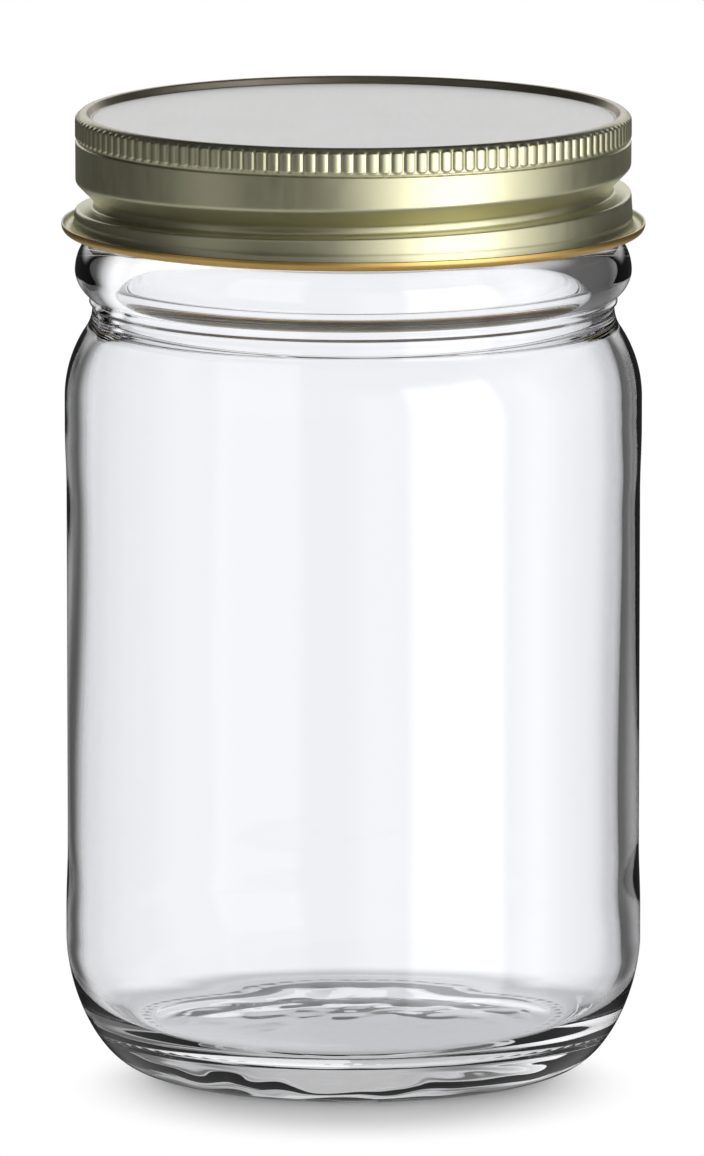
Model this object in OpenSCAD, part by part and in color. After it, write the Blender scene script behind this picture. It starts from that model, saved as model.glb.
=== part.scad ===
// Jelly jar: a clear glass jar with a continuous outside thread, a one-piece
// stamped metal lid that screws onto it, and the sealing ring inside the lid.
// Lengths are in millimetres. The origin is the centre of the base, on the
// surface that the jar stands on, and Z is up.

/* [Jar body] */
// Outer diameter of the body, from which the neck, the lid and the ring follow
body_d = 73.5; // [70:0.5:90]
// Height of the glass, from the table to the top of its lip
jar_h = 120.5; // [105:0.5:160]
// Thickness of the side wall
wall = 2.5; // [1.8:0.1:3.5]
// Height of the shoulder, from the body up to the neck
shoulder_h = 11.6; // [8:0.1:18]
// Width of the shoulder, from the body in to the finish between its threads
shoulder_w = 4.35; // [3.4:0.05:6]
// Depth of the label panel below the body's surface
label_recess = 0.2; // [0:0.05:0.5]
// Width of the plain band above and below the label panel
label_band = 4; // [2:0.5:10]

/* [Base] */
// Height of the rounded heel
heel_h = 16; // [10:0.5:24]
// Width of the heel, from the bearing ring out to the body
heel_w = 8.8; // [5:0.1:12]
// Width of the flat bearing ring
bearing_w = 2.2; // [1:0.1:4]
// Height of the hollow under the base at its centre
push_up = 2; // [0.5:0.1:4]
// Thickness of the glass at the centre of the base
base_t = 4.2; // [2.5:0.1:7]
// Width of the rounded corner between the floor inside and the wall
floor_corner_w = 6.5; // [5:0.5:16]
// Height of the rounded corner between the floor inside and the wall
floor_corner_h = 10; // [6:0.5:16]
// Rise of the floor inside, from its edge to its centre
floor_rise = 0.6; // [0:0.1:2]

/* [Neck and finish] */
// Thickness of the finish, from its root to the bore
finish_wall = 2.4; // [2:0.1:4]
// Rounding of the lip's two edges
lip_r = 0.8; // [0.3:0.1:1]
// How far the neck below the bead stands out from the finish
neck_step = 0.8; // [0.2:0.1:1.5]
// How far the bead stands out from the finish
bead_proud = 3; // [1.8:0.1:4]
// Distance from the lip down to the widest part of the bead
bead_drop = 18.3; // [17.9:0.1:22]
// Height of the bead above its widest part
bead_up = 4.4; // [2:0.1:4.8]
// Height of the bead below its widest part
bead_down = 2.5; // [1.5:0.1:4]
// Height of the neck between the bead and the shoulder
neck_h = 2.1; // [1:0.1:6]

/* [Thread] */
// Height that one turn of the thread climbs
pitch = 4.233; // [4.1:0.001:4.6]
// How far the thread stands out from the finish
thread_reach = 1.8; // [1.2:0.1:2]
// Distance from the lip down to the top of the glass thread at its upper end
thread_drop = 1.6; // [1.2:0.1:3]
// Gap between the glass thread and the metal thread that it meets
thread_gap = 0.3; // [0.2:0.02:0.4]
// Gap between the metal thread and the finish that it passes
rib_gap = 0.35; // [0.25:0.05:0.5]
// Gap between the crest of the glass thread and the lid's skirt
skirt_gap = 0.85; // [0.4:0.05:1]

/* [Lid] */
// Thickness of the lid's metal
sheet = 0.25; // [0.2:0.01:0.4]
// Height of the lid
lid_h = 15.3; // [14.6:0.1:15.8]
// Depth of the panel below the crest of the rim
rim_h = 0.9; // [0.6:0.1:1.4]
// Width of the rim, from the panel's edge to the skirt
rim_w = 1.9; // [1.6:0.1:3]
// Height of the rounded corner outside the crest
corner_h = 1.1; // [0.7:0.1:1.4]
// Depth of the waist below the knurled band
waist_depth = 0.15; // [0.05:0.05:0.45]
// Height of the waist below the knurled band
waist_h = 1.5; // [1:0.1:2]
// How far the curl at the foot stands out from the skirt
curl_w = 1.8; // [1.2:0.1:2.4]

/* [Knurled band] */
// Number of ribs around the lid
rib_count = 140; // [90:1:150]
// Height of the ribs
rib_h = 2.9; // [2:0.1:3.2]
// Distance from the crest of the rim down to the ribs
rib_drop = 0.6; // [0.5:0.1:0.8]
// How far the ribs stand out from the skirt
rib_proud = 0.18; // [0.1:0.02:0.3]

/* [Rolled thread of the lid] */
// Height of the groove, from its ledge to its upper edge
groove_h = 3.45; // [3:0.05:3.6]
// Height of the groove's floor
groove_floor_h = 1; // [0.6:0.05:1.3]
// Distance from the lid's foot up to the ledge at the groove's lower end
groove_rise = 2.3; // [2:0.05:3.5]
// Distance from the waist down to the groove's upper edge at its upper end
groove_drop = 0.5; // [0.2:0.05:2]

/* [Sealing ring] */
// Thickness of the ring between the lip and the lid's panel
ring_t = 0.85; // [0.5:0.05:1.2]
// Width of the ring, from the metal beside it towards the bore
ring_w = 4; // [3:0.1:4.4]
// Gap between the ring and the curved metal beside it
ring_gap = 0.3; // [0.2:0.05:0.5]

/* [Hidden] */
$fn = 120;

// Number of straight facets in each rounded stretch of the glass
arc_steps = 8;
// Number of straight facets in each bend of the lid's sheet
bend_steps = 5;
// Number of rings in one turn of a thread
turn_steps = 60;
// Length over which a thread fades out at each end, in turns
fade_turns = 0.12;
// How far a cut runs past the surface that it opens
overrun = 0.9;
// How far the ends of a rolled thread stay inside or outside the sheet
fade_lap = 0.1;
// Share of the shoulder's rounding that lies next to the neck
shoulder_share = 0.26;
// Share of the inner shoulder's rounding that lies next to the neck
inner_shoulder_share = 0.36;
// Exponents of the rounded heel and the corner of the floor inside
heel_power = 1.72;
floor_power = 2;
// Share of a rib's spacing that its foot and its crest take up
rib_foot_share = 0.72;
rib_crest_share = 0.34;
// How far the ledge of the rolled thread slopes down towards the outside
ledge_slope_share = 0.045;
// Angle through which the curl is rolled
curl_turn = 195;

// Radii of the glass
body_r = body_d / 2;
finish_r = body_r - shoulder_w;
neck_r = finish_r + neck_step;
bead_r = finish_r + bead_proud;
bore_r = finish_r - finish_wall;
thread_r = finish_r + thread_reach;
bearing_r = body_r - heel_w;
inner_r = body_r - wall;

// Heights of the glass
bead_z = jar_h - bead_drop;
neck_top = bead_z - bead_down;
neck_foot = neck_top - neck_h;
shoulder_foot = neck_foot - shoulder_h;
floor_z = push_up + base_t - floor_rise;

// Radii of the lid
skirt_r = thread_r + skirt_gap + sheet;
groove_r = finish_r + rib_gap + sheet;
panel_r = skirt_r - rim_w;
crest_r = skirt_r - rim_w / 3;
gutter_r = (curl_w - sheet) / 2;

// Heights of the lid
panel_z = jar_h + ring_t + sheet;
lid_top = panel_z + rim_h;
lid_foot = lid_top - lid_h;
rib_top = lid_top - rib_drop;
rib_foot = rib_top - rib_h;
waist_foot = rib_foot - waist_h;
curl_z = lid_foot + gutter_r + sheet;

// Slopes of the rolled thread's upper wall and ledge, and their rise in the
// thickness of the sheet
groove_depth = skirt_r - groove_r;
ledge_drop = groove_depth * ledge_slope_share;
wall_slope = (groove_h - ledge_drop - groove_floor_h) / groove_depth;
wall_sheet = sheet * sqrt(1 + wall_slope * wall_slope);
ledge_sheet = sheet * sqrt(1 + ledge_slope_share * ledge_slope_share);
wall_gap = thread_gap * sqrt(1 + wall_slope * wall_slope);

// Turns at which each thread begins, counted from the right-hand side, and the
// height of the ledge at turn 0
groove_start = 0.32;
thread_start = 0.25;
ledge_z = lid_foot + groove_rise - groove_start * pitch;

// Turns at which each thread ends, as high as the skirt and the lip let it climb
groove_end = (waist_foot - groove_drop - groove_h + ledge_drop - ledge_z) / pitch;
thread_over = pitch - ledge_drop - ledge_sheet - thread_gap;
thread_end = (jar_h - thread_drop - thread_over - ledge_z) / pitch;

// Quarter of a superellipse that leaves its first point level and comes to
// its second point upright
function round_up(from, to, power = 2, steps = arc_steps) =
    [for (i = [0 : steps])
        let (a = 90 * i / steps)
        [from[0] + (to[0] - from[0]) * pow(sin(a), 2 / power),
         from[1] + (to[1] - from[1]) * (1 - pow(cos(a), 2 / power))]];

// The same quarter, going down from its level first point
function round_down(from, to, power = 2, steps = arc_steps) =
    [for (p = round_up([from[0], -from[1]], [to[0], -to[1]], power, steps)) [p[0], -p[1]]];

// Curve of two arcs between two upright stretches
function s_curve(from, to, first_share) =
    let (dr = to[0] - from[0],
         dz = to[1] - from[1],
         turn = 2 * atan(abs(dr) / abs(dz)),
         reach = abs(dz) / sin(turn),
         first = reach * first_share,
         second = reach * (1 - first_share))
    concat(
        [for (i = [0 : arc_steps])
            let (a = turn * i / arc_steps)
            [from[0] + sign(dr) * first * (1 - cos(a)),
             from[1] + sign(dz) * first * sin(a)]],
        [for (i = [arc_steps - 1 : -1 : 0])
            let (a = turn * i / arc_steps)
            [to[0] - sign(dr) * second * (1 - cos(a)),
             to[1] - sign(dz) * second * sin(a)]]);

// Smooth rise from one level stretch to another
function ease_up(from, to) =
    [for (i = [0 : bend_steps])
        let (share = i / bend_steps)
        [from[0] + (to[0] - from[0]) * share,
         from[1] + (to[1] - from[1]) * (1 - cos(180 * share)) / 2]];

// Shallow round groove between two points of an upright stretch
function waist(r, top, foot, depth) =
    [for (i = [0 : bend_steps])
        let (share = i / bend_steps)
        [r - depth * (1 - cos(360 * share)) / 2,
         top + (foot - top) * share]];

function reversed(list) = [for (i = [len(list) - 1 : -1 : 0]) list[i]];

// The same path, moved sideways by a thickness
function beside(path, thickness) =
    [for (i = [0 : len(path) - 1])
        let (ahead = path[min(i + 1, len(path) - 1)],
             behind = path[max(i - 1, 0)],
             run = (ahead - behind) / norm(ahead - behind))
        path[i] + thickness * [run[1], -run[0]]];

// Share of its full depth that a thread has reached at a turn
function fade(turn, first, last) =
    let (share = min(1, (turn - first) / fade_turns, (last - turn) / fade_turns))
    (1 - cos(180 * max(0, share))) / 2;

// Cross-section of the groove's outside, as [radius, height above the ledge].
// With a lap of sheet it is the inside of the rolled thread.
function groove_section(depth_share, outer, lap) =
    let (floor_r = skirt_r + fade_lap - (groove_depth + fade_lap) * depth_share - lap * sheet,
         upper = groove_h - ledge_drop + lap * wall_sheet,
         lower = -ledge_drop - lap * ledge_sheet)
    [[outer, upper + wall_slope * (outer - skirt_r)],
     [floor_r, upper + wall_slope * (groove_r - lap * sheet - skirt_r)],
     [floor_r, lower + ledge_slope_share * (skirt_r - groove_r + lap * sheet)],
     [outer, lower - ledge_slope_share * (outer - skirt_r)]];

// Cross-section of the glass thread. Its underside lies along the upper wall
// of the metal thread, and its top stays under the next turn's ledge.
function thread_section(depth_share) =
    let (root = finish_r - finish_wall / 2,
         buried = finish_r - finish_wall / 8,
         crest = buried + (thread_r - buried) * depth_share,
         under = groove_h - ledge_drop + wall_sheet + wall_gap)
    [[root, under + wall_slope * (root - skirt_r)],
     [crest, under + wall_slope * (thread_r - skirt_r)],
     [crest, thread_over + ledge_slope_share * (skirt_r - thread_r)],
     [root, thread_over + ledge_slope_share * (skirt_r - root)]];

// Solid swept along the thread's helix from a list of [turn, section]
module helical_solid(rings) {
    size = len(rings[0][1]);
    last = len(rings) - 1;
    points = [for (ring = rings)
        for (p = ring[1])
            [p[0] * cos(360 * ring[0]),
             p[0] * sin(360 * ring[0]),
             p[1] + ledge_z + pitch * ring[0]]];
    sides = [for (i = [0 : last - 1])
        for (j = [0 : size - 1])
            let (k = (j + 1) % size,
                 a = i * size + j,
                 b = i * size + k,
                 c = (i + 1) * size + k,
                 d = (i + 1) * size + j)
            each [[a, b, c], [a, c, d]]];
    ends = [[for (j = [size - 1 : -1 : 0]) j],
            [for (j = [0 : size - 1]) last * size + j]];
    polyhedron(points = points, faces = concat(sides, ends));
}

// Glass outline from the centre of the base, up the outside, over the lip and
// down the inside to the centre of the floor
module jar_outline() {
    hollow_r = bearing_r - bearing_w;
    hollow = [for (i = [0 : arc_steps])
        let (share = i / arc_steps)
        [hollow_r * share, push_up * (1 - share * share)]];
    label_foot = heel_h + label_band;
    label_top = shoulder_foot - label_band;
    label_step = 3 * label_recess;
    label = [
        [body_r, label_foot],
        [body_r - label_recess, label_foot + label_step],
        [body_r - label_recess, label_top - label_step],
        [body_r, label_top]];
    lip = concat(
        reversed(round_down([finish_r - lip_r, jar_h], [finish_r, jar_h - lip_r])),
        round_down([bore_r + lip_r, jar_h], [bore_r, jar_h - lip_r]));
    bead = concat(
        round_up([neck_r, neck_top], [bead_r, bead_z]),
        reversed(round_down([finish_r, bead_z + bead_up], [bead_r, bead_z])));
    floor_edge = [inner_r - floor_corner_w, floor_z];
    polygon(concat(
        hollow,
        round_up([bearing_r, 0], [body_r, heel_h], heel_power),
        label,
        reversed(s_curve([neck_r, neck_foot], [body_r, shoulder_foot], shoulder_share)),
        bead,
        lip,
        s_curve([bore_r, neck_foot], [inner_r, shoulder_foot], inner_shoulder_share),
        reversed(round_up(floor_edge, [inner_r, floor_z + floor_corner_h], floor_power)),
        [[0, floor_z + floor_rise]]));
}

// Clear glass jar with its thread
module glass_jar() {
    thread_turns = thread_end - thread_start;
    steps = ceil(thread_turns * turn_steps);
    rings = [for (i = [0 : steps])
        let (turn = thread_start + thread_turns * i / steps)
        [turn, thread_section(fade(turn, thread_start, thread_end))]];
    color([0.86, 0.90, 0.90, 0.45])
    union() {
        rotate_extrude() jar_outline();
        helical_solid(rings);
    }
}

// Outside of the lid's sheet, from the centre of the panel to the end of the curl
function lid_path() =
    let (curl_r = skirt_r + gutter_r)
    concat(
        [[0, panel_z]],
        ease_up([panel_r, panel_z], [crest_r, lid_top]),
        round_down([crest_r, lid_top], [skirt_r, lid_top - corner_h], 2, bend_steps),
        waist(skirt_r, rib_foot, waist_foot, waist_depth),
        [for (i = [0 : 2 * bend_steps])
            let (a = 180 + curl_turn * i / (2 * bend_steps))
            [curl_r + gutter_r * cos(a), curl_z + gutter_r * sin(a)]]);

// Ribs of the knurled band, with chamfered ends, on a ring inside the sheet
module knurl() {
    pitch_angle = 360 / rib_count;
    root_r = skirt_r - sheet / 2;
    rib_r = skirt_r + rib_proud;
    corners = [
        [root_r, -rib_foot_share],
        [rib_r, -rib_crest_share],
        [rib_r, rib_crest_share],
        [root_r, rib_foot_share]];
    outline = [for (i = [0 : rib_count - 1])
        for (c = corners)
            let (a = pitch_angle * (i + c[1] / 2))
            c[0] * [cos(a), sin(a)]];
    chamfer_h = rib_h / 5;
    ring_r = skirt_r - sheet * 3 / 4;
    envelope = [
        [ring_r, rib_foot],
        [root_r, rib_foot],
        [rib_r, rib_foot + chamfer_h],
        [rib_r, rib_top - chamfer_h],
        [root_r, rib_top],
        [ring_r, rib_top]];
    intersection() {
        translate([0, 0, rib_foot]) linear_extrude(rib_h) polygon(outline);
        rotate_extrude() polygon(envelope);
    }
}

// Stamped metal lid: panel, rim, knurled band, skirt with its rolled thread, and curl
module lid_shell() {
    outside = lid_path();
    groove_turns = groove_end - groove_start;
    steps = ceil(groove_turns * turn_steps);
    turns = [for (i = [0 : steps]) groove_start + groove_turns * i / steps];
    inner_wall = [for (t = turns)
        [t, groove_section(fade(t, groove_start, groove_end), skirt_r - fade_lap, 1)]];
    outer_cut = [for (t = turns)
        [t, groove_section(fade(t, groove_start, groove_end), skirt_r + overrun, 0)]];
    color([0.78, 0.75, 0.58])
    difference() {
        union() {
            rotate_extrude() polygon(concat(outside, reversed(beside(outside, sheet))));
            knurl();
            helical_solid(inner_wall);
        }
        helical_solid(outer_cut);
    }
}

// Soft ring in the channel of the lid, which rests on the lip of the glass
module sealing_ring() {
    ring_top = jar_h + ring_t;
    outer = skirt_r - sheet - ring_gap;
    channel = panel_r + ring_gap;
    fill_h = rim_h - 2 * ring_gap;
    color([0.83, 0.80, 0.72])
    rotate_extrude()
    polygon([
        [outer - ring_w, jar_h],
        [outer, jar_h],
        [outer, ring_top],
        [crest_r, ring_top + fill_h],
        [channel + ring_gap, ring_top + fill_h],
        [channel, ring_top],
        [outer - ring_w, ring_top]]);
}

glass_jar();
lid_shell();
sealing_ring();
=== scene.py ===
import math

import bpy
import numpy as np
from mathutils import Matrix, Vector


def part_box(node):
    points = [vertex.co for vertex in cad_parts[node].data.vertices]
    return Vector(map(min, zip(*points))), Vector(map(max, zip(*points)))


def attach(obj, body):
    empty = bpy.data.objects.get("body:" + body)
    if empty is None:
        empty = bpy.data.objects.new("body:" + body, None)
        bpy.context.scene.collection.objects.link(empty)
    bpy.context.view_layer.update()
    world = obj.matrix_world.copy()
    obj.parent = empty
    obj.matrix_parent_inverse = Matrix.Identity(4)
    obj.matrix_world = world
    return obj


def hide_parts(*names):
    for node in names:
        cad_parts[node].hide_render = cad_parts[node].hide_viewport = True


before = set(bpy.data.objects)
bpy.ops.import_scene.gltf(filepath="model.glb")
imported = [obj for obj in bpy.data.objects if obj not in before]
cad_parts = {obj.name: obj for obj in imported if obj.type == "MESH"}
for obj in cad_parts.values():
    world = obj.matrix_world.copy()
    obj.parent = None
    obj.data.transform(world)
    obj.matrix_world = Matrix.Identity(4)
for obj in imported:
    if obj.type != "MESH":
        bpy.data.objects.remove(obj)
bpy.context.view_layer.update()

MM = 0.001
TURN = 2 * math.pi
ROUND = 2  # power of the superellipse that is a circle

# Sizes that the CAD model gives
_, glass_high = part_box("glass_jar")
lid_low, lid_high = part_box("lid_shell")
_, ring_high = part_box("sealing_ring")
BODY_R = glass_high.x
JAR_H = glass_high.z
LID_FOOT = lid_low.z
LID_TOP = lid_high.z
RING_R = ring_high.x
RING_TOP = ring_high.z

# Sizes of the body of the glass
WALL = 2.5 * MM
INNER_R = BODY_R - WALL
HEEL_H = 16 * MM
HEEL_POWER = 1.72
BEARING_R = BODY_R - 8.8 * MM
BEARING_W = 2.2 * MM
HOLLOW_R = BEARING_R - BEARING_W
PUSH_UP = 2 * MM
FLOOR_Z = 5.6 * MM
FLOOR_RISE = 0.6 * MM
FLOOR_CORNER_W = 6.5 * MM
FLOOR_CORNER_H = 10 * MM
FLOOR_R = INNER_R - FLOOR_CORNER_W
CORNER_TOP = FLOOR_Z + FLOOR_CORNER_H
LABEL_BAND = 4 * MM
LABEL_FULL = 3 * LABEL_BAND
LABEL_RECESS = 0.2 * MM

# Sizes of the neck and the finish of the glass
FINISH_R = BODY_R - 4.35 * MM
FINISH_WALL = 2.4 * MM
BORE_R = FINISH_R - FINISH_WALL
LIP_R = 0.8 * MM
NECK_R = FINISH_R + 0.8 * MM
BEAD_R = FINISH_R + 3 * MM
BEAD_Z = JAR_H - 18.3 * MM
BEAD_UP = 4.4 * MM
BEAD_DOWN = 3.1 * MM
BEAD_POWER = 1.65
NECK_TOP = BEAD_Z - BEAD_DOWN
NECK_FOOT = BEAD_Z - 4.6 * MM
NECK_RING = 0.4 * MM
KNOT_ANGLE = math.radians(-161)
KNOT_Z = NECK_FOOT + 0.5 * MM
KNOT_PROUD = 0.4 * MM
KNOT_W = 1.8 * MM
SHOULDER_FOOT = NECK_FOOT - 11.6 * MM
SHOULDER_SHARE = 0.26
INNER_SHOULDER_SHARE = 0.2

# Unevenness of the glass. Waves are (size, times round, times up, start).
WALL_WAVES = ((0.10 * MM, 2, 30, 1.1), (0.07 * MM, 3, -55, 0.4), (0.04 * MM, 5, 90, 2.0))
WALL_WAVE_FADE = 12 * MM
FLOOR_WAVES = ((0.08 * MM, 2, 0, 0.7), (0.05 * MM, 3, 0, 2.2), (0.015 * MM, 7, 0, 0.3))
FLOOR_TWIST = 1.5
CLOUD_SEED = 7
CLOUD_COUNT = 26
CLOUD_LENGTHS = (4 * MM, 15 * MM)
CLOUD_DEPTH = 0.045 * MM
CLOUD_FULL_SHARE = 0.6
STIPPLE_COUNT = 64
STIPPLE_DEPTH = 0.1 * MM

# Sizes of both threads
PITCH = 4.233 * MM
THREAD_R = FINISH_R + 1.8 * MM
THREAD_GAP = 0.3 * MM
THREAD_ROUND = 0.22 * MM
SHEET = 0.25 * MM
SKIRT_R = THREAD_R + 0.85 * MM + SHEET
GROOVE_DEPTH = SKIRT_R - FINISH_R - 0.35 * MM - SHEET
GROOVE_H = 3.45 * MM
GROOVE_FLOOR_H = 1.0 * MM
LEDGE_DROP = 0.045 * GROOVE_DEPTH
GROOVE_TURNS = (0.32, 1.3)
THREAD_TURNS = (0.25, 1.695)
FADE_TURNS = 0.12
LEDGE_Z = LID_FOOT + 2.3 * MM - GROOVE_TURNS[0] * PITCH
WALL_SLOPE = (GROOVE_H - LEDGE_DROP - GROOVE_FLOOR_H) / GROOVE_DEPTH

# Sizes of the lid's panel, crevice, rim and corner
PANEL_R = SKIRT_R - 1.9 * MM
PANEL_Z = LID_TOP - 0.9 * MM
PANEL_SHARES = (0.02, 0.96)
RIM_START_SHARE = 0.965
CREVICE = ((-0.3 * MM, 0), (-0.15 * MM, -0.16 * MM), (0, -0.02 * MM))
RIM_WALL_W = 0.5 * MM
RIM_WALL_DROP = 0.06 * MM
RIM_ROUND = 0.08 * MM
CREST_R = SKIRT_R - 1.05 * MM
CREST_W = 0.05 * MM
CORNER_H = 1.1 * MM
PANEL_EDGE_W = 0.25 * MM
RIM_EDGE_SHARE = 0.7

# Sizes of the lid's ribs and band
RIB_COUNT = 140
RIB_OFFSETS = (-0.5, -0.46, -0.39, -0.32, -0.28, -0.14, 0, 0.14, 0.28, 0.32, 0.39, 0.46)
RIB_TOP = LID_TOP - 0.4 * MM
RIB_FOOT = RIB_TOP - 2.9 * MM
RIB_PROUD = 0.21 * MM
RIB_SHARE = 0.3
RIB_CROWN = 0.25
RIB_END_H = 0.22 * MM
RIB_END_ROUND = 0.35 * MM
RIB_LEAST_R = PANEL_R + 0.8 * MM
BAND_R = SKIRT_R - 0.18 * MM
BAND_FOOT = RIB_FOOT - 0.2 * MM
BAND_ROUND = 0.06 * MM
NOTCH_DEPTH = 0.14 * MM
NOTCH_TOP = BAND_FOOT + 0.12 * MM
NOTCH_Z = BAND_FOOT - 0.04 * MM
NOTCH_FOOT = BAND_FOOT - 0.2 * MM
WAIST_FOOT = RIB_FOOT - 1.5 * MM

# Sizes of the lid's skirt, crease and curl
SKIRT_ROUND = 0.24 * MM
CREASE_Z = LID_FOOT + 2.1 * MM
CREASE_DEPTH = 0.05 * MM
CREASE_H = 0.4 * MM
LOWER_FLARE = 0.2 * MM
FLARE = 0.36 * MM
FOOT_ROUND = 0.14 * MM
GUTTER_R = (1.8 * MM - SHEET) / 2
CURL_Z = LID_FOOT + GUTTER_R + SHEET
CURL_R = SKIRT_R + GUTTER_R
CURL_START = 180
CURL_TURN = 195

# Sizes of the sealing ring
RING_T = 0.85 * MM
RING_W = 4 * MM
RING_CHANNEL_R = PANEL_R + 0.3 * MM
RING_BEVEL = 0.3 * MM
RING_SEAM = 0.1 * MM
RING_ROUND = 0.1 * MM

# How finely the meshes are cut
CENTRE_SHARE = 0.03
PATH_STEP = 0.03 * MM
PATH_REACH = 3
GLASS_STEPS = {
    "hollow": 56, "bearing": 8, "heel": 34, "body": 50, "shoulder": 18, "neck": 22,
    "under_bead": 16, "over_bead": 44, "finish": 90, "lip": 6, "bore": 12,
    "inner_shoulder": 16, "inside": 30, "corner": 22, "floor": 56}
LID_STEPS = {"panel": 14, "rim": 34, "corner": 12, "band": 40, "skirt": 84, "foot": 14, "curl": 22}
RING_STEPS = 72
GLASS_COLUMNS = 480
LID_COLUMNS = RIB_COUNT * len(RIB_OFFSETS)
INSIDE_STEP = 4
SKIRT_COLUMNS = 720
FOOT_ROWS = 36
RING_COLUMNS = 180

# Looks of the lid's metal, in the order of its material slots. The coat is its weight and
# roughness, and the grain is in features a metre.
LID_METALS = {
    "gold_lacquer": {
        "dark": (0.66, 0.42, 0.12), "light": (0.72, 0.47, 0.15),
        "roughness": (0.3, 0.36), "coat": (0.3, 0.3)},
    "champagne_lacquer": {
        "dark": (0.60, 0.58, 0.39), "light": (0.64, 0.62, 0.42),
        "roughness": (0.33, 0.38), "coat": (0.15, 0.32)},
    "grey_panel": {
        "dark": (0.59, 0.59, 0.585), "light": (0.61, 0.61, 0.605),
        "roughness": (0.36, 0.4), "metallic": 0.3, "grain": 1500, "stretch": (1, 0.1, 1)},
    "inner_lacquer": {
        "dark": (0.40, 0.32, 0.20), "light": (0.46, 0.37, 0.24),
        "roughness": (0.35, 0.42), "metallic": 0.5},
    # Rim and corner: a darker, browner copy of the skirt's champagne lacquer, painted shade for
    # the rim's brown band
    "shaded_rim_lacquer": {
        "dark": (0.50, 0.455, 0.36), "light": (0.54, 0.49, 0.39),
        "roughness": (0.32, 0.37)}}
METAL_SLOT = {name: slot for slot, name in enumerate(LID_METALS)}
METAL_PATCH_SCALE = 90
METAL_PATCH_STRETCH = (1, 1, 2)
METAL_GRAIN = 900
METAL_GRAIN_STRETCH = (1, 1, 0.25)
METAL_BUMP = (0.001 * MM, 0.4)
NOISE_RANGE = (0.3, 0.7)
NOISE_DETAIL = 3
GRAIN_DETAIL = 4

# Looks of the glass and the sealing ring. A bump is its height and strength.
GLASS_COLOUR = (0.978, 0.982, 1.0, 1)
GLASS_IOR = 1.5
RIPPLE_SCALE = 60
RIPPLE_STRETCH = (1, 1, 0.5)
RIPPLE_DETAIL = 2
RIPPLE_BUMP = (0.03 * MM, 0.5)
SEAL_DARK = (0.70, 0.66, 0.55)
SEAL_LIGHT = (0.78, 0.75, 0.66)
SEAL_ROUGHNESS = 0.55
SEAL_PATCH_SCALE = 220
SEAL_GRAIN = 2500
SEAL_BUMP = (0.02 * MM, 0.5)

# Panels of light as (direction, edges across, edges up, softness, strength, share of it
# that rays inside the glass see, share that other rays see). Angles are in degrees, with
# azimuth 0 towards the viewer and 90 to the right, and behind is azimuth on either side.
PANELS = (
    ("azimuth", (23, 63), (-32, 38), 3, 2.6, 0.3, 1),
    ("azimuth", (2, 23), (-32, 34), 7, 1.0, 0, 1),
    ("azimuth", (63, 84), (-32, 34), 7, 0.8, 0, 1),
    ("azimuth", (-74, -52), (-40, 38), 8, 0.28, 1, 1),
    ("azimuth", (74, 96), (-40, 38), 10, 0.3, 1, 1),
    ("behind", (150, 200), (4, 34), 4, 1.15, 0, 1),
    ("behind", (166, 200), (-40, 8), 6, 0.2, 1, 0),
    ("azimuth", (-50, 5), (11, 40), 6, 0.2, 0, 1),
    ("elevation", (72, 100), (72, 100), 8, 0.1, 1, 1))

# Light between the panels, as windows of (start, end, softness) in degrees and strengths
BASE_LIGHT = 0.03
INSIDE_LIGHT = 0.5
DARK_RIGHT = (90, 160, 10)
DARK_LEFT = (-168, -149, 6)
DARK_LEVEL = (-20, 20, 6)
DARK_LIGHT = -0.4
BESIDE = (-140, -80, 10)
BESIDE_LIGHT = 0.6
TABLE_EDGE = (-16, -32)
TABLE_LIGHT = 0.05
TABLE_OUTSIDE_LIGHT = 0.3
LOW_LEFT = (-200, -40, 20)
LOW_LEFT_LIGHT = 0.3

# The floor. It glows evenly white outside a painted shadow patch centred in front of the jar,
# where its grey diffuse colour shows together with the jar's real shadow, and it glows under the
# jar as painted light seen through the glass
FLOOR_REACH = 30
# Grey of the floor inside the painted shadow patch, painted shade on top of the real shadow
FLOOR_COLOUR = (0.8, 0.8, 0.8, 1)
SHADOW_CENTRE = (0, -18 * MM, 0)
SHADOW_EDGES = (19 * MM, 37 * MM)
# Painted glow of the floor under the jar, which only rays through the glass see, in place of light
# through the base
UNDER_GLOW_EDGES = (42 * MM, 34 * MM)
UNDER_GLOW_STRENGTH = 0.6

# The camera
LENS = 431.5
SENSOR_W = 36
CLIP = (0.1, 100)
EYE = np.array((0, -1743, 358)) * MM
AIM = np.array((-0.17, 0, 62.4)) * MM


# Outlines, as rows of (radius, height)

def smoothstep(value, low, high):
    """Smooth rise from 0 at low to 1 at high."""
    share = np.clip((value - low) / (high - low), 0, 1)
    return share * share * (3 - 2 * share)


def quarter(start, end, power, steps):
    """Quarter of a superellipse that leaves start level and comes to end upright."""
    a = np.linspace(0, math.pi / 2, steps + 1)
    across = np.sin(a) ** (2 / power)
    up = 1 - np.clip(np.cos(a), 0, 1) ** (2 / power)
    return np.column_stack([
        start[0] + (end[0] - start[0]) * across,
        start[1] + (end[1] - start[1]) * up])


def turned_quarter(start, end, steps):
    """Round quarter that leaves start upright and comes to the higher end level."""
    path = quarter((end[0], -end[1]), (start[0], -start[1]), ROUND, steps)
    path[:, 1] *= -1
    return path[::-1]


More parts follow.
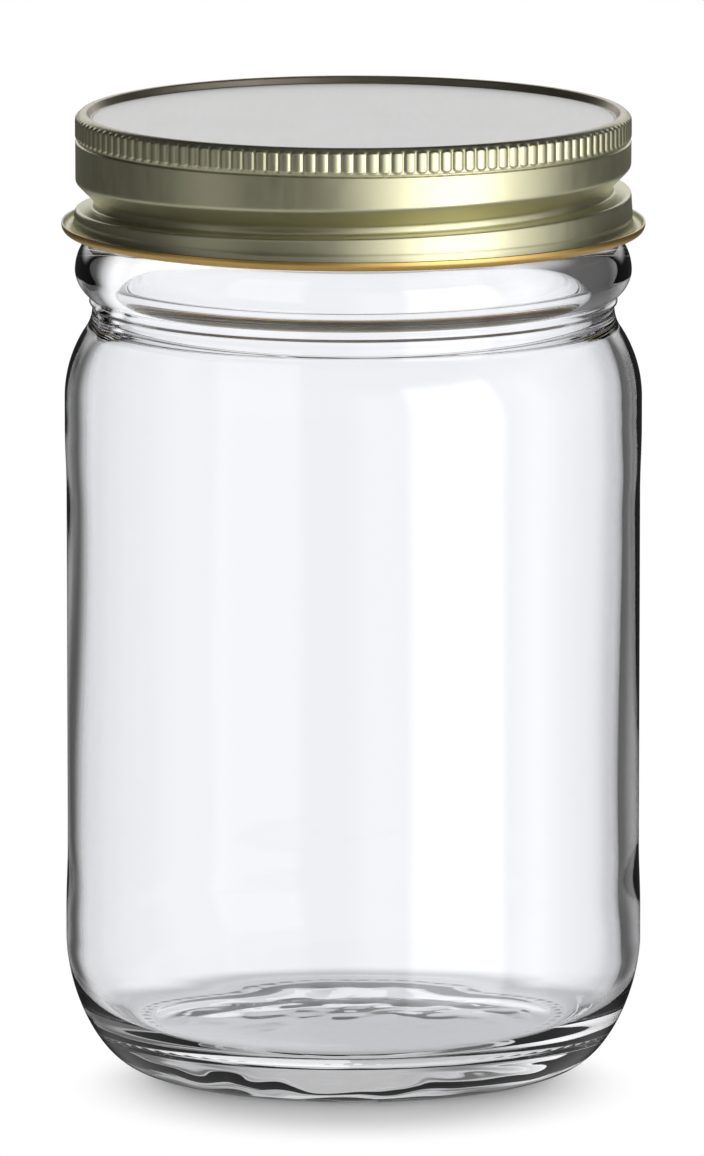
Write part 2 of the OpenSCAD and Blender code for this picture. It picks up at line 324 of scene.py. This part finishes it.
def s_curve(start, end, first_share, steps):
    """Curve of two arcs between two upright stretches."""
    across = end[0] - start[0]
    up = end[1] - start[1]
    turn = 2 * math.atan(abs(across) / abs(up))
    reach = abs(up) / math.sin(turn)
    a = np.linspace(0, turn, steps + 1)
    side = np.sign(across)
    climb = np.sign(up)
    first = reach * first_share
    second = reach - first
    head = np.column_stack([
        start[0] + side * first * (1 - np.cos(a)),
        start[1] + climb * first * np.sin(a)])
    tail = np.column_stack([
        end[0] - side * second * (1 - np.cos(a)),
        end[1] - climb * second * np.sin(a)])
    return np.vstack([head, tail[::-1][1:]])


def straight(start, end, steps):
    """Evenly spaced points from start to end, both included."""
    share = np.linspace(0, 1, steps + 1)[:, None]
    return np.array(start) * (1 - share) + np.array(end) * share


def rounded(corners, radius, rows):
    """Path through the corners with its turns rounded, as evenly spaced rows."""
    corners = np.array(corners)
    along = np.concatenate([[0], np.cumsum(np.hypot(*np.diff(corners, axis=0).T))])
    fine = np.linspace(0, along[-1], int(along[-1] / PATH_STEP) + 2)
    path = np.column_stack([np.interp(fine, along, corners[:, k]) for k in (0, 1)])
    reach = int(PATH_REACH * radius / PATH_STEP)
    weights = np.exp(-0.5 * (np.arange(-reach, reach + 1) * PATH_STEP / radius) ** 2)
    weights /= weights.sum()
    before = 2 * path[0] - path[reach:0:-1]
    after = 2 * path[-1] - path[-2:-reach - 2:-1]
    padded = np.vstack([before, path, after])
    smooth = np.column_stack([np.convolve(padded[:, k], weights, "valid") for k in (0, 1)])
    along = np.concatenate([[0], np.cumsum(np.hypot(*np.diff(smooth, axis=0).T))])
    even = np.linspace(0, along[-1], rows)
    return np.column_stack([np.interp(even, along, smooth[:, k]) for k in (0, 1)])


def fade(turn, turns):
    """Share of its full depth that a thread has reached at a turn."""
    share = min(1, (turn - turns[0]) / FADE_TURNS, (turns[1] - turn) / FADE_TURNS)
    return (1 - math.cos(math.pi * max(0, share))) / 2


# Meshes, as grids of rows and columns round the axis

def column_angles(columns):
    return np.arange(columns) * TURN / columns


def ring_rows(path, columns):
    """The same outline at every column, as a grid of (radius, height)."""
    return np.repeat(np.array(path)[:, None, :], columns, axis=1)


def grid_points(grid, angle):
    return np.stack([
        grid[..., 0] * np.cos(angle),
        grid[..., 0] * np.sin(angle),
        grid[..., 1]], axis=-1).reshape(-1, 3)


def strip_faces(index):
    """Quads between each row of point numbers and the next."""
    beside = np.roll(index, -1, axis=1)
    quads = np.stack([index[:-1], beside[:-1], beside[1:], index[1:]], axis=-1)
    return quads.reshape(-1, 4).tolist()


def seam_faces(coarse, fine):
    """Faces that join a row of point numbers to a row with more of them."""
    step = len(fine) // len(coarse)
    around = np.append(fine, fine[0])
    faces = []
    for k, first in enumerate(coarse):
        second = coarse[(k + 1) % len(coarse)]
        faces.append([first, second, *around[k * step:(k + 1) * step + 1][::-1]])
    return faces


def lathe_mesh(name, grids, angles, poles):
    """Mesh round the axis from grids of (radius, height), each with its columns' angles,
    and its faces' number in each part. With poles its first and last rows close on the
    axis, and without them the last row joins the first."""
    points = np.vstack([grid_points(grid, angle) for grid, angle in zip(grids, angles)])
    indices = []
    start = 0
    for grid in grids:
        rows, columns = grid.shape[:2]
        indices.append(np.arange(start, start + rows * columns).reshape(rows, columns))
        start += rows * columns
    if not poles:
        indices[-1] = np.vstack([indices[-1], indices[0][:1]])
    faces = []
    counts = []
    for place, index in enumerate(indices):
        if place:
            seam = seam_faces(indices[place - 1][-1], index[0])
            faces += seam
            counts.append(len(seam))
        strip = strip_faces(index)
        faces += strip
        counts.append(len(strip))
    if poles:
        low = indices[0][0]
        high = indices[-1][-1]
        ends = [[0, 0, grids[0][0, :, 1].mean()], [0, 0, grids[-1][-1, :, 1].mean()]]
        points = np.vstack([points, ends])
        faces += [[start, b, a] for a, b in zip(low, np.roll(low, -1))]
        faces += [[start + 1, a, b] for a, b in zip(high, np.roll(high, -1))]
        counts += [len(low), len(high)]
    mesh = bpy.data.meshes.new(name)
    mesh.from_pydata(points.tolist(), [], [[int(k) for k in face] for face in faces])
    mesh.update()
    mesh.shade_smooth()
    piece = bpy.data.objects.new(name, mesh)
    bpy.context.scene.collection.objects.link(piece)
    return piece, counts


# The glass

def base_outlines():
    """Hollow under the base, from its centre outwards, and the bearing ring round it."""
    share = np.linspace(CENTRE_SHARE, 1, GLASS_STEPS["hollow"])
    hollow = np.column_stack([HOLLOW_R * share, PUSH_UP * (1 - share ** 2)])
    bearing = straight((HOLLOW_R, 0), (BEARING_R, 0), GLASS_STEPS["bearing"])[1:-1]
    return hollow, bearing


def side_outline():
    """Outside of the glass from the heel up to the top of the bead."""
    heel = quarter((BEARING_R, 0), (BODY_R, HEEL_H), HEEL_POWER, GLASS_STEPS["heel"])
    height = np.linspace(HEEL_H, SHOULDER_FOOT, GLASS_STEPS["body"])[1:-1]
    inset = LABEL_RECESS * (
        smoothstep(height, HEEL_H + LABEL_BAND, HEEL_H + LABEL_FULL)
        * smoothstep(-height, LABEL_BAND - SHOULDER_FOOT, LABEL_FULL - SHOULDER_FOOT))
    body = np.column_stack([BODY_R - inset, height])
    shoulder = s_curve(
        (BODY_R, SHOULDER_FOOT), (NECK_R, NECK_FOOT), 1 - SHOULDER_SHARE, GLASS_STEPS["shoulder"])
    neck = straight((NECK_R, NECK_FOOT), (NECK_R, NECK_TOP), GLASS_STEPS["neck"])[1:-1]
    neck[:, 0] += NECK_RING * np.sin(np.linspace(0, math.pi, len(neck))) ** 2
    under_bead = quarter(
        (NECK_R, NECK_TOP), (BEAD_R, BEAD_Z), BEAD_POWER, GLASS_STEPS["under_bead"])
    over_bead = turned_quarter(
        (BEAD_R, BEAD_Z), (FINISH_R, BEAD_Z + BEAD_UP), GLASS_STEPS["over_bead"])
    return np.vstack([heel, body, shoulder, neck, under_bead, over_bead[1:-1]])


def thread_rows(angle):
    """Finish of the glass from the bead up to the lip at one column, with its thread."""
    under = GROOVE_H - LEDGE_DROP + (SHEET + THREAD_GAP) * math.hypot(1, WALL_SLOPE)
    over = PITCH - LEDGE_DROP - SHEET - THREAD_GAP
    corners = [(FINISH_R, BEAD_Z + BEAD_UP)]
    for lap in (0, 1):
        turn = angle / TURN + lap
        depth = fade(turn, THREAD_TURNS)
        if depth > 0:
            ledge = LEDGE_Z + PITCH * turn
            crest = FINISH_R + (THREAD_R - FINISH_R) * depth
            corners += [
                (FINISH_R, ledge + under + WALL_SLOPE * (FINISH_R - SKIRT_R)),
                (crest, ledge + under + WALL_SLOPE * (THREAD_R - SKIRT_R)),
                (crest, ledge + over + LEDGE_DROP / 2),
                (FINISH_R, ledge + over + LEDGE_DROP)]
    corners.append((FINISH_R, JAR_H - LIP_R))
    return rounded(corners, THREAD_ROUND, GLASS_STEPS["finish"])


def lip_outline():
    """Lip from the outside to the bore, and the bore down to the neck's foot."""
    foot = JAR_H - LIP_R
    outer = turned_quarter((FINISH_R, foot), (FINISH_R - LIP_R, JAR_H), GLASS_STEPS["lip"])
    inner = turned_quarter((BORE_R, foot), (BORE_R + LIP_R, JAR_H), GLASS_STEPS["lip"])
    bore = straight((BORE_R, foot), (BORE_R, NECK_FOOT), GLASS_STEPS["bore"])[1:-1]
    return np.vstack([outer[1:], inner[::-1], bore])


def inside_outline():
    """Inside of the glass from the neck's foot down to the centre of the floor."""
    shoulder = s_curve(
        (BORE_R, NECK_FOOT), (INNER_R, SHOULDER_FOOT), INNER_SHOULDER_SHARE,
        GLASS_STEPS["inner_shoulder"])
    inside = straight((INNER_R, SHOULDER_FOOT), (INNER_R, CORNER_TOP), GLASS_STEPS["inside"])[1:-1]
    corner = quarter((FLOOR_R, FLOOR_Z), (INNER_R, CORNER_TOP), ROUND, GLASS_STEPS["corner"])[::-1]
    share = np.linspace(1, CENTRE_SHARE, GLASS_STEPS["floor"])[1:]
    floor = np.column_stack([FLOOR_R * share, FLOOR_Z + FLOOR_RISE * (1 - share ** 2)])
    return np.vstack([shoulder, inside, corner, floor])


def wave(angle, height, parts):
    """Slow wave over the glass, as the sum of (size, times round, times up, start)."""
    total = 0
    for size, around, up, start in parts:
        total = total + size * np.sin(around * angle + up * height + start)
    return total


def clouds(x, y, draw):
    """Uneven height over the floor, about 1 in size, as small waves in all directions."""
    total = 0
    for _ in range(CLOUD_COUNT):
        way = draw.uniform(0, TURN)
        length = draw.uniform(*CLOUD_LENGTHS)
        start = draw.uniform(0, TURN)
        along = x * math.cos(way) + y * math.sin(way)
        total = total + np.sin(along * TURN / length + start)
    return total / math.sqrt(CLOUD_COUNT / 2)


def glass_grid(angle):
    """Glass from the centre of the base, up the outside, over the lip and down."""
    hollow, bearing = base_outlines()
    below = ring_rows(np.vstack([hollow, bearing, side_outline()]), GLASS_COLUMNS)
    finish = np.stack([thread_rows(a) for a in angle], axis=1)
    above = ring_rows(lip_outline(), GLASS_COLUMNS)
    within = ring_rows(inside_outline(), GLASS_COLUMNS)

    # A small knot of glass stands on the left side of the neck
    off = (angle - KNOT_ANGLE + math.pi) % TURN - math.pi
    away = np.hypot(off * NECK_R, below[..., 1] - KNOT_Z)
    below[..., 0] += KNOT_PROUD * np.exp(-0.5 * (away / KNOT_W) ** 2)

    # The inside is blown, so the wall and the floor are nowhere quite even
    height = within[..., 1]
    wall_share = (
        smoothstep(NECK_FOOT - height, 0, WALL_WAVE_FADE)
        * smoothstep(within[..., 0], 0, INNER_R))
    within[..., 0] += wave(angle, height, WALL_WAVES) * wall_share
    reach = within[..., 0] / INNER_R
    floor_share = smoothstep(CORNER_TOP - height, 0, FLOOR_CORNER_H) * reach ** 2
    within[..., 1] += wave(angle + FLOOR_TWIST * reach, 0, FLOOR_WAVES) * floor_share

    # The base is cloudy on its underside and inside, and the bearing ring is stippled
    draw = np.random.default_rng(CLOUD_SEED)
    for part, edge_r in ((below[:len(hollow)], HOLLOW_R), (within, FLOOR_R)):
        radius = part[..., 0]
        level = clouds(radius * np.cos(angle), radius * np.sin(angle), draw)
        depth = CLOUD_DEPTH * level
        part[..., 1] += depth * smoothstep(-radius / edge_r, -1, -CLOUD_FULL_SHARE)
    bearing_rows = slice(len(hollow), len(hollow) + len(bearing))
    dents = (1 - np.cos(STIPPLE_COUNT * angle)) / 2
    across = np.sin(np.linspace(0, math.pi, len(bearing)))
    below[bearing_rows, :, 1] += STIPPLE_DEPTH * across[:, None] * dents
    return np.vstack([below, finish, above, within])


def make_glass():
    angle = column_angles(GLASS_COLUMNS)
    piece, _ = lathe_mesh("jar_glass", [glass_grid(angle)], [angle], poles=True)
    piece.data.materials.append(clear_glass())
    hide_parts("glass_jar")
    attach(piece, "jar")


# The lid

def rib_angles():
    """Angles of the lid's columns, closer together where a rib's side slopes."""
    places = (np.arange(RIB_COUNT)[:, None] + np.array(RIB_OFFSETS)).ravel()
    return (places + 0.5) * TURN / RIB_COUNT


def top_outline():
    """Outside of the lid's sheet from the centre of the panel down to the waist's foot."""
    first, last = PANEL_SHARES
    panel = straight((PANEL_R * first, PANEL_Z), (PANEL_R * last, PANEL_Z), LID_STEPS["panel"])
    rim = rounded([
        (PANEL_R * RIM_START_SHARE, PANEL_Z),
        *((PANEL_R + out, PANEL_Z + up) for out, up in CREVICE),
        (PANEL_R + RIM_WALL_W, LID_TOP - RIM_WALL_DROP),
        (CREST_R - CREST_W, LID_TOP)], RIM_ROUND, LID_STEPS["rim"])
    corner = turned_quarter((BAND_R, LID_TOP - CORNER_H), (CREST_R, LID_TOP), LID_STEPS["corner"])
    band = rounded([
        (BAND_R, LID_TOP - CORNER_H),
        (BAND_R, NOTCH_TOP),
        (BAND_R - NOTCH_DEPTH, NOTCH_Z),
        (SKIRT_R, NOTCH_FOOT),
        (SKIRT_R, WAIST_FOOT)], BAND_ROUND, LID_STEPS["band"])
    return np.vstack([panel, rim, corner[::-1], band[1:]])


def skirt_rows(angle):
    """Outside of the skirt from the waist down to the crease at one column."""
    corners = [(SKIRT_R, WAIST_FOOT)]
    for lap in (1, 0):
        turn = angle / TURN + lap
        depth = fade(turn, GROOVE_TURNS)
        if depth > 0:
            ledge = LEDGE_Z + PITCH * turn
            flare = LOWER_FLARE * (1 - depth) / (WAIST_FOOT - CREASE_Z)
            outline = (
                (0, GROOVE_H - LEDGE_DROP), (depth, GROOVE_FLOOR_H), (depth, 0), (0, -LEDGE_DROP))
            for inset, up in outline:
                height = ledge + up
                side = SKIRT_R + flare * (WAIST_FOOT - height)
                corners.append((side - GROOVE_DEPTH * inset, height))
    corners.append((SKIRT_R + LOWER_FLARE, CREASE_Z))
    return rounded(corners, SKIRT_ROUND, LID_STEPS["skirt"])


def skirt_grid(angle):
    """The skirt at the lid's columns, between evenly spaced ones."""
    even = np.stack([skirt_rows(a) for a in column_angles(SKIRT_COLUMNS)], axis=1)
    place = angle / TURN * SKIRT_COLUMNS
    before = np.floor(place).astype(int) % SKIRT_COLUMNS
    share = (place % 1)[:, None]
    return even[:, before] * (1 - share) + even[:, (before + 1) % SKIRT_COLUMNS] * share


def foot_outline():
    """Outside of the lid's sheet from the crease to the end of the curl."""
    foot = rounded([
        (SKIRT_R + LOWER_FLARE, CREASE_Z),
        (SKIRT_R + LOWER_FLARE - CREASE_DEPTH, CREASE_Z - CREASE_H),
        (SKIRT_R + FLARE, CURL_Z)], FOOT_ROUND, LID_STEPS["foot"])
    turn = np.radians(CURL_START + np.linspace(0, CURL_TURN, LID_STEPS["curl"])[1:])
    inset = FLARE * np.linspace(1, 0, len(turn)) ** 2
    curl = np.column_stack([
        CURL_R + GUTTER_R * np.cos(turn) + inset,
        CURL_Z + GUTTER_R * np.sin(turn)])
    return np.vstack([foot[1:], curl])


def ribs(grid, angle):
    """How far the ribs stand out from the lid's outside, row by row."""
    turns = angle / TURN + 0.5 / RIB_COUNT
    off = np.abs((turns * RIB_COUNT + 0.5) % 1 - 0.5)
    crown = 1 - RIB_CROWN * (off / RIB_SHARE) ** 2
    flank = (1 - RIB_CROWN) * (0.5 - off) / (0.5 - RIB_SHARE)
    bar = np.where(off < RIB_SHARE, crown, flank)
    height = grid[..., 1]
    round_h = RIB_END_ROUND * (off / 0.5) ** 2
    up = smoothstep(height - RIB_FOOT - round_h, 0, RIB_END_H)
    down = smoothstep(RIB_TOP - round_h - height, 0, RIB_END_H)
    ends = np.where(grid[..., 0] > RIB_LEAST_R, up * down, 0)
    return RIB_PROUD * bar * ends


def lid_slots(counts, coarse, radius):
    """Material slots of the lid's faces, from its parts' counts of faces, the inside's
    grid and the outside's radius row by row."""
    panel_rows = int(np.argmax(radius > PANEL_R - PANEL_EDGE_W))
    rim_rows = int(np.argmax(radius > CREST_R + RIM_EDGE_SHARE * (BAND_R - CREST_R)))
    inside, seam, outside, low_end, high_end = (np.zeros(count, int) for count in counts)
    inside[:] = METAL_SLOT["gold_lacquer"]
    inside[:(len(coarse) - FOOT_ROWS) * coarse.shape[1]] = METAL_SLOT["inner_lacquer"]
    seam[:] = METAL_SLOT["grey_panel"]
    outside[:] = METAL_SLOT["champagne_lacquer"]
    # The rim and corner get the darker copy of the lacquer, painted shade
    outside[(1 - rim_rows) * LID_COLUMNS:] = METAL_SLOT["shaded_rim_lacquer"]
    outside[(1 - panel_rows) * LID_COLUMNS:] = METAL_SLOT["grey_panel"]
    low_end[:] = METAL_SLOT["inner_lacquer"]
    high_end[:] = METAL_SLOT["grey_panel"]
    return np.concatenate([inside, seam, outside, low_end, high_end])


def make_lid():
    angle = rib_angles()
    outside = np.concatenate([
        ring_rows(top_outline(), LID_COLUMNS),
        skirt_grid(angle)[1:],
        ring_rows(foot_outline(), LID_COLUMNS)])
    run = np.gradient(outside, axis=0)
    run /= np.linalg.norm(run, axis=-1, keepdims=True)
    inside = outside + SHEET * np.stack([run[..., 1], -run[..., 0]], axis=-1)
    outside[..., 0] += ribs(outside, angle)
    coarse = inside[:, ::INSIDE_STEP]
    piece, counts = lathe_mesh(
        "lid_metal", [coarse, outside[::-1]], [angle[::INSIDE_STEP], angle], poles=True)
    for name, look in LID_METALS.items():
        piece.data.materials.append(metal(name, **look))
    slots = lid_slots(counts, coarse, outside[:, 0, 0])
    piece.data.polygons.foreach_set("material_index", slots)
    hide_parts("lid_shell")
    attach(piece, "lid")


# The sealing ring

def make_ring():
    low = JAR_H
    flat = low + RING_T
    inner = RING_R - RING_W
    middle = RING_R - RING_W / 2
    corners = [
        (middle, low),
        (RING_R, low),
        (RING_R, flat),
        (CREST_R, RING_TOP),
        (RING_CHANNEL_R + RING_BEVEL, RING_TOP),
        (RING_CHANNEL_R, flat),
        (inner, flat),
        (inner, low),
        (middle - RING_SEAM, low)]
    grid = ring_rows(rounded(corners, RING_ROUND, RING_STEPS), RING_COLUMNS)
    piece, _ = lathe_mesh("seal_compound", [grid], [column_angles(RING_COLUMNS)], poles=False)
    piece.data.materials.append(seal_rubber())
    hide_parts("sealing_ring")
    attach(piece, "ring")


# Materials

def new_material(name):
    material = bpy.data.materials.new(name)
    material.use_nodes = True
    nodes = material.node_tree.nodes
    shader = nodes["Principled BSDF"]
    return material, nodes, material.node_tree.links, shader


def noise(nodes, links, scale, stretch=(1, 1, 1), detail=NOISE_DETAIL):
    """Noise over the object's own coordinates, in features a metre."""
    place = nodes.new("ShaderNodeTexCoord")
    size = nodes.new("ShaderNodeMapping")
    size.inputs["Scale"].default_value = stretch
    texture = nodes.new("ShaderNodeTexNoise")
    texture.inputs["Scale"].default_value = scale
    texture.inputs["Detail"].default_value = detail
    links.new(place.outputs["Object"], size.inputs["Vector"])
    links.new(size.outputs["Vector"], texture.inputs["Vector"])
    return texture.outputs["Fac"]


def spread(nodes, links, value, low, high):
    """The noise's usual range spread from low to high."""
    node = nodes.new("ShaderNodeMapRange")
    node.inputs["From Min"].default_value = NOISE_RANGE[0]
    node.inputs["From Max"].default_value = NOISE_RANGE[1]
    node.inputs["To Min"].default_value = low
    node.inputs["To Max"].default_value = high
    links.new(value, node.inputs["Value"])
    return node.outputs["Result"]


def bump(nodes, links, value, shader, distance, strength):
    """Unevenness of the shader's surface."""
    node = nodes.new("ShaderNodeBump")
    node.inputs["Distance"].default_value = distance
    node.inputs["Strength"].default_value = strength
    links.new(value, node.inputs["Height"])
    links.new(node.outputs["Normal"], shader.inputs["Normal"])


def tint(nodes, links, value, shader, dark, light):
    """Colour of the shader between dark and light."""
    node = nodes.new("ShaderNodeMix")
    node.data_type = "RGBA"
    node.inputs["A"].default_value = (*dark, 1)
    node.inputs["B"].default_value = (*light, 1)
    links.new(value, node.inputs["Factor"])
    links.new(node.outputs["Result"], shader.inputs["Base Color"])


def clear_glass():
    material, nodes, links, shader = new_material("clear_glass")
    shader.inputs["Base Color"].default_value = GLASS_COLOUR
    shader.inputs["Roughness"].default_value = 0.0
    shader.inputs["IOR"].default_value = GLASS_IOR
    shader.inputs["Transmission Weight"].default_value = 1.0
    ripple = noise(nodes, links, RIPPLE_SCALE, RIPPLE_STRETCH, RIPPLE_DETAIL)
    bump(nodes, links, ripple, shader, *RIPPLE_BUMP)
    return material


def metal(name, dark, light, roughness, metallic=1.0, coat=None,
          grain=METAL_GRAIN, stretch=METAL_GRAIN_STRETCH):
    """Satin sheet metal with a rolled grain and a faint change of colour."""
    material, nodes, links, shader = new_material(name)
    shader.inputs["Metallic"].default_value = metallic
    patches = noise(nodes, links, METAL_PATCH_SCALE, METAL_PATCH_STRETCH)
    tint(nodes, links, spread(nodes, links, patches, 0, 1), shader, dark, light)
    streaks = noise(nodes, links, grain, stretch, GRAIN_DETAIL)
    links.new(spread(nodes, links, streaks, *roughness), shader.inputs["Roughness"])
    bump(nodes, links, streaks, shader, *METAL_BUMP)
    if coat:
        shader.inputs["Coat Weight"].default_value = coat[0]
        shader.inputs["Coat Roughness"].default_value = coat[1]
    return material


def seal_rubber():
    material, nodes, links, shader = new_material("sealing_compound")
    shader.inputs["Roughness"].default_value = SEAL_ROUGHNESS
    patches = spread(nodes, links, noise(nodes, links, SEAL_PATCH_SCALE), 0, 1)
    tint(nodes, links, patches, shader, SEAL_DARK, SEAL_LIGHT)
    bump(nodes, links, noise(nodes, links, SEAL_GRAIN), shader, *SEAL_BUMP)
    return material


# Studio

def math_node(nodes, links, operation, *values):
    node = nodes.new("ShaderNodeMath")
    node.operation = operation
    for socket, value in zip(node.inputs, values):
        if isinstance(value, (int, float)):
            socket.default_value = value
        else:
            links.new(value, socket)
    return node.outputs["Value"]


def rise(nodes, links, value, start, end):
    """Smooth rise from 0 at start to 1 at end."""
    node = nodes.new("ShaderNodeMapRange")
    node.interpolation_type = "SMOOTHSTEP"
    node.inputs["From Min"].default_value = start
    node.inputs["From Max"].default_value = end
    links.new(value, node.inputs["Value"])
    return node.outputs["Result"]


def ramp(nodes, links, value, start, end):
    """Smooth rise between two angles in degrees."""
    return rise(nodes, links, value, math.radians(start), math.radians(end))


def window(nodes, links, value, start, end, soft):
    """1 between two angles in degrees, and 0 past their soft edges."""
    up = ramp(nodes, links, value, start - soft, start + soft)
    down = ramp(nodes, links, value, end + soft, end - soft)
    return math_node(nodes, links, "MULTIPLY", up, down)


def mirrored_share(nodes, links):
    """1 for a ray that gloss or the inside of the glass has turned back, else 0."""
    rays = nodes.new("ShaderNodeLightPath")
    mirrored = math_node(nodes, links, "GREATER_THAN", rays.outputs["Glossy Depth"], 0.5)
    direct = math_node(nodes, links, "SUBTRACT", 1.0, rays.outputs["Is Diffuse Ray"])
    return math_node(nodes, links, "MULTIPLY", mirrored, direct)


def panel_light(nodes, links, angles, inside, panel):
    """One soft panel of light, with the share of it that a ray sees."""
    direction, across, up, soft, strength, inside_share, outside_share = panel
    a = window(nodes, links, angles[direction], *across, soft)
    e = window(nodes, links, angles["elevation"], *up, soft)
    both = math_node(nodes, links, "MULTIPLY", a, e)
    light = math_node(nodes, links, "MULTIPLY", both, strength)
    share = math_node(
        nodes, links, "MULTIPLY_ADD", inside, inside_share - outside_share, outside_share)
    return math_node(nodes, links, "MULTIPLY", light, share)


def make_world():
    """Even white light, and soft panels that only gloss and glass show."""
    world = bpy.data.worlds.new("studio")
    bpy.context.scene.world = world
    world.use_nodes = True
    world.cycles.sampling_method = "NONE"
    nodes = world.node_tree.nodes
    links = world.node_tree.links
    place = nodes.new("ShaderNodeTexCoord")
    split = nodes.new("ShaderNodeSeparateXYZ")
    links.new(place.outputs["Generated"], split.inputs["Vector"])
    x, y, z = (split.outputs[k] for k in "XYZ")
    toward = math_node(nodes, links, "MULTIPLY", y, -1.0)
    azimuth = math_node(nodes, links, "ARCTAN2", x, toward)
    elevation = math_node(nodes, links, "ARCSINE", z)
    angles = {
        "azimuth": azimuth,
        "elevation": elevation,
        "behind": math_node(nodes, links, "ABSOLUTE", azimuth)}
    rays = nodes.new("ShaderNodeLightPath")
    inside = rays.outputs["Is Transmission Ray"]
    outside = math_node(nodes, links, "SUBTRACT", 1.0, inside)

    # Light that rays inside the glass see, less of it behind and more of it on the left
    right = window(nodes, links, azimuth, *DARK_RIGHT)
    left = window(nodes, links, azimuth, *DARK_LEFT)
    sides = math_node(nodes, links, "ADD", right, left)
    level = window(nodes, links, elevation, *DARK_LEVEL)
    dark = math_node(nodes, links, "MULTIPLY", sides, level)
    beside = window(nodes, links, azimuth, *BESIDE)
    within = math_node(nodes, links, "MULTIPLY_ADD", dark, DARK_LIGHT, INSIDE_LIGHT)
    within = math_node(nodes, links, "MULTIPLY_ADD", beside, BESIDE_LIGHT, within)

    # Light from the table below
    table = ramp(nodes, links, elevation, *TABLE_EDGE)
    low_left = window(nodes, links, azimuth, *LOW_LEFT)
    low_left = math_node(nodes, links, "MULTIPLY", low_left, inside)
    below = math_node(nodes, links, "MULTIPLY_ADD", outside, TABLE_OUTSIDE_LIGHT, TABLE_LIGHT)
    below = math_node(nodes, links, "MULTIPLY_ADD", low_left, LOW_LEFT_LIGHT, below)

    total = math_node(nodes, links, "MULTIPLY_ADD", inside, within, BASE_LIGHT)
    total = math_node(nodes, links, "MULTIPLY_ADD", table, below, total)
    for panel in PANELS:
        light = panel_light(nodes, links, angles, inside, panel)
        total = math_node(nodes, links, "ADD", light, total)
    mix = nodes.new("ShaderNodeMix")
    mix.data_type = "FLOAT"
    mix.inputs["A"].default_value = 1.0
    links.new(mirrored_share(nodes, links), mix.inputs["Factor"])
    links.new(total, mix.inputs["B"])
    background = nodes["Background"]
    background.inputs["Color"].default_value = (1, 1, 1, 1)
    links.new(mix.outputs["Result"], background.inputs["Strength"])


def mixed(nodes, links, share, first, second):
    """The first shader, and the second by its share."""
    node = nodes.new("ShaderNodeMixShader")
    links.new(share, node.inputs["Fac"])
    links.new(first, node.inputs[1])
    links.new(second, node.inputs[2])
    return node.outputs["Shader"]


def distance_from(nodes, links, place, centre):
    """Distance of a point of the floor from the centre."""
    off = nodes.new("ShaderNodeVectorMath")
    off.operation = "SUBTRACT"
    off.inputs[1].default_value = centre
    length = nodes.new("ShaderNodeVectorMath")
    length.operation = "LENGTH"
    links.new(place.outputs["Object"], off.inputs[0])
    links.new(off.outputs["Vector"], length.inputs[0])
    return length.outputs["Value"]


def make_floor():
    """White floor, grey with painted shade inside a shadow patch round the jar where the real
    shadow shows, with a painted glow under the jar; mirrored rays pass through it.
    """
    mesh = bpy.data.meshes.new("floor")
    corners = [(-FLOOR_REACH, -FLOOR_REACH, 0), (FLOOR_REACH, -FLOOR_REACH, 0),
               (FLOOR_REACH, FLOOR_REACH, 0), (-FLOOR_REACH, FLOOR_REACH, 0)]
    mesh.from_pydata(corners, [], [(0, 1, 2, 3)])
    floor = bpy.data.objects.new("floor", mesh)
    bpy.context.scene.collection.objects.link(floor)
    material, nodes, links, shader = new_material("white_floor")
    shader.inputs["Base Color"].default_value = FLOOR_COLOUR
    shader.inputs["Roughness"].default_value = 1.0
    shader.inputs["Specular IOR Level"].default_value = 0.0
    place = nodes.new("ShaderNodeTexCoord")
    glow = nodes.new("ShaderNodeEmission")
    # Outside the painted shadow patch the floor glows white; inside it the grey diffuse shows the
    # jar's real shadow
    away = distance_from(nodes, links, place, SHADOW_CENTRE)
    glow_share = rise(nodes, links, away, *SHADOW_EDGES)
    lit = mixed(nodes, links, glow_share, shader.outputs["BSDF"], glow.outputs["Emission"])
    rays = nodes.new("ShaderNodeLightPath")
    through = math_node(nodes, links, "SUBTRACT", 1.0, rays.outputs["Is Camera Ray"])
    # Painted glow under the jar for rays that are not camera rays, standing in for light through
    # the base
    under_glow_share = rise(nodes, links, distance_from(nodes, links, place, (0, 0, 0)), *UNDER_GLOW_EDGES)
    under_glow_share = math_node(nodes, links, "MULTIPLY", under_glow_share, through)
    under = nodes.new("ShaderNodeEmission")
    under.inputs["Strength"].default_value = UNDER_GLOW_STRENGTH
    lit = mixed(nodes, links, under_glow_share, lit, under.outputs["Emission"])
    clear = nodes.new("ShaderNodeBsdfTransparent")
    seen = mixed(nodes, links, mirrored_share(nodes, links), lit, clear.outputs["BSDF"])
    links.new(seen, nodes["Material Output"].inputs["Surface"])
    mesh.materials.append(material)


def make_camera():
    """The photograph's view: a long lens that looks about ten degrees down."""
    data = bpy.data.cameras.new("camera")
    data.lens = LENS
    data.sensor_width = SENSOR_W
    data.clip_start, data.clip_end = CLIP
    camera = bpy.data.objects.new("camera", data)
    bpy.context.scene.collection.objects.link(camera)
    camera.location = EYE
    across, along, down = EYE - AIM
    pitch = math.atan2(down, -along)
    camera.rotation_euler = (math.pi / 2 - pitch, 0, math.atan2(across, -along))
    bpy.context.scene.camera = camera


make_camera()
make_world()
make_floor()
make_glass()
make_lid()
make_ring()
bpy.context.scene.view_settings.view_transform = "Standard"
